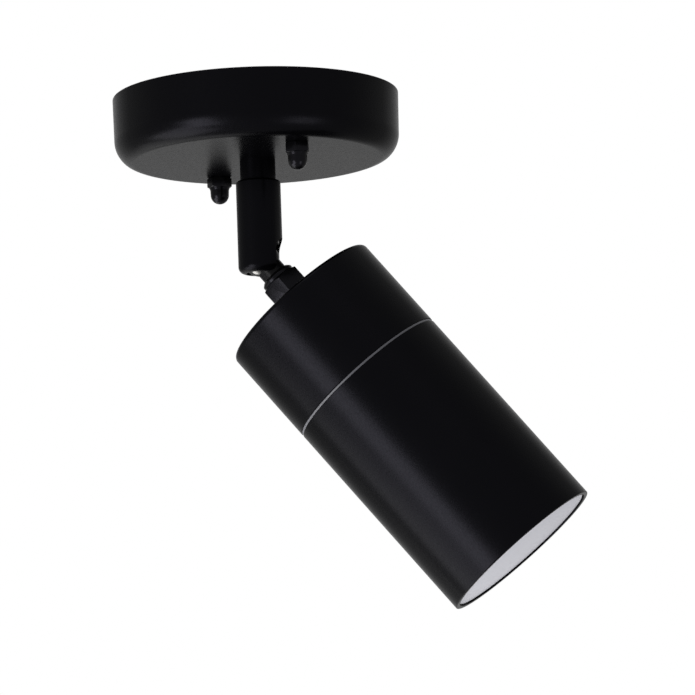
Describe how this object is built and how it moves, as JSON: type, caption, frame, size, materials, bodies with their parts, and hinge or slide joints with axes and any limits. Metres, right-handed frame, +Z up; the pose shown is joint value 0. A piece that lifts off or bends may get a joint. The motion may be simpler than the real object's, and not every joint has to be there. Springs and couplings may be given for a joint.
{
  "type": "ceiling spotlight",
  "caption": "Black ceiling spotlight: a round canopy, a short neck and a slotted ball knuckle carry a plain cylinder head that tilts, swivels and ends in a frosted lens.",
  "frame": {"origin": "middle of the canopy's ceiling face, where the bracket lies on the ceiling", "axes": "+Z up, out of the ceiling face; +X through the two cap nuts; the head leans 39.3 degrees from straight down, towards 58.6 degrees from +X"},
  "size_m": [0.1236, 0.1494, 0.1825],
  "materials": {
    "black_coat": "satin black powder coat with a fine grain",
    "black_alloy": "satin black powder coat with a fine grain, over aluminium",
    "zinc_steel": "zinc plated",
    "steel_screws": "zinc plated",
    "dark_steel": "blackened, with the ball worn bright",
    "spring_steel": "oiled spring steel",
    "brass_contacts": "plain",
    "nylon": "natural white",
    "black_plastic": "black, self-lubricating",
    "block_plastic": "white",
    "glass_fibre_sleeve": "woven heat-proof sleeve",
    "brown_wire": "brown",
    "blue_wire": "blue",
    "green_wire": "green and yellow",
    "holder_plastic": "heat-proof white",
    "seal_rubber": "grey silicone",
    "sealant": "black silicone",
    "frosted_lens": "frosted",
    "lamp_pin_metal": "plated",
    "lamp_plastic": "white",
    "lamp_board_coat": "white solder mask",
    "lamp_lens": "clear"
  },
  "bodies": {
    "canopy_mount": {"mounting_bracket": "zinc_steel", "fixing_studs": "steel_screws", "stud_lock_nuts": "steel_screws", "canopy": "black_coat", "cap_nuts": "black_coat", "neck": "black_coat", "neck_washer": "zinc_steel", "neck_nut": "zinc_steel", "neck_bush": "nylon", "neck_sleeve": "glass_fibre_sleeve", "live_wire": "brown_wire", "neutral_wire": "blue_wire", "earth_wire": "green_wire", "terminal_block": "block_plastic", "terminal_clamps": "brass_contacts", "terminal_screws": "steel_screws", "block_screw": "steel_screws", "earth_tag": "brass_contacts", "earth_washer": "steel_screws", "earth_screw": "brass_contacts", "swivel_washer": "zinc_steel", "retaining_ring": "spring_steel"},
    "knuckle_body": {"knuckle": "black_coat", "seat_spring": "spring_steel", "ball_seat": "black_plastic"},
    "head": {"ball_arm": "dark_steel", "lock_ring": "black_coat", "hex_coupler": "black_coat", "rear_cap": "black_alloy", "arm_washer": "zinc_steel", "arm_nut": "zinc_steel", "holder_bracket": "zinc_steel", "bracket_screws": "steel_screws", "lampholder": "holder_plastic", "holder_contacts": "brass_contacts", "holder_screws": "steel_screws", "holder_nuts": "steel_screws", "head_sleeve": "glass_fibre_sleeve", "head_live_wire": "brown_wire", "head_neutral_wire": "blue_wire", "head_earth_wire": "green_wire", "head_earth_tag": "brass_contacts", "head_earth_screw": "brass_contacts"},
    "seal": {"seam_seal": "seal_rubber"},
    "barrel": {"front_barrel": "black_alloy", "lens_gasket": "seal_rubber", "lens": "frosted_lens", "lens_sealant": "sealant"},
    "lamp": {"lamp_pins": "lamp_pin_metal", "lamp_base": "lamp_plastic", "lamp_body": "lamp_plastic", "lamp_board": "lamp_board_coat", "lamp_front": "lamp_lens"}
  },
  "joints": [
    {"name": "knuckle_swivel", "type": "hinge", "parent": "canopy_mount", "child": "knuckle_body", "pos_m": [0, 0, -0.0342], "axis": [0, 0, 1], "range_deg": [-165, 165]},
    {"name": "head_tilt", "type": "hinge", "parent": "knuckle_body", "child": "head", "pos_m": [0, 0, -0.0574], "axis": [0.8536, -0.521, 0], "range_deg": [-39.3, 50.7]},
    {"name": "barrel_advance", "type": "slide", "parent": "head", "child": "seal", "axis": [0.33, 0.5406, -0.7738], "range_m": [0, 0.0075]},
    {"name": "barrel_turn", "type": "hinge", "parent": "seal", "child": "barrel", "pos_m": [0, 0, -0.0574], "axis": [0.33, 0.5406, -0.7738], "range_deg": [0, 1800]},
    {"name": "lamp_twist", "type": "hinge", "parent": "head", "child": "lamp", "pos_m": [0, 0, -0.0574], "axis": [0.33, 0.5406, -0.7738], "range_deg": [0, 25]}
  ],
  "couplings": [
    {"joint": "barrel_advance", "follows": "barrel_turn", "m_per_rad": 0.00023873}
  ]
}
